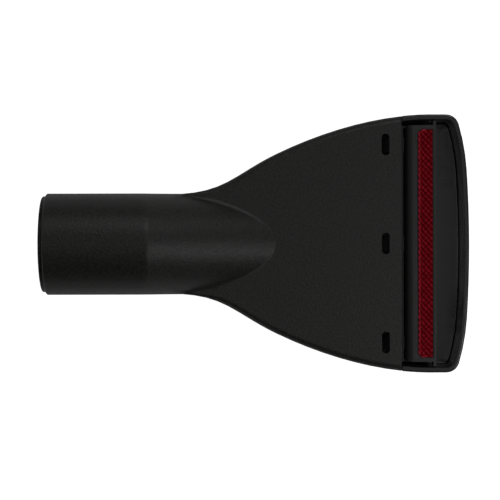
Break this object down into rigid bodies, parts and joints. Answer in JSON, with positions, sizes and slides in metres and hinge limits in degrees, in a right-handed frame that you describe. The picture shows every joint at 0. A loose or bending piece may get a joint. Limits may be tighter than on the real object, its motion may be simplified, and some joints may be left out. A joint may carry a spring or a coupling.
{
  "type": "vacuum upholstery nozzle",
  "caption": "Fan-shaped upholstery nozzle for a vacuum wand: round socket, bent neck, flat sole plate, mouth slot and lint strip of red pile.",
  "frame": {"origin": "on the surface that the nozzle lies on, under the middle of its length and width", "axes": "+X from the wand socket to the mouth, +Y across the mouth, +Z out of the mouth, towards the cloth in use"},
  "size_m": [0.1662, 0.1006, 0.0395],
  "materials": {
    "body_plastic": "fine grained black moulding",
    "shell_plastic": "smooth black moulding",
    "carrier_plastic": "smooth satin black moulding",
    "strip_pile": "short directional red pile"
  },
  "bodies": {
    "root": {"nozzle_body": "body_plastic", "back_shell": "shell_plastic", "strip_carrier": "carrier_plastic", "lint_strip": "strip_pile"}
  },
  "joints": []
}
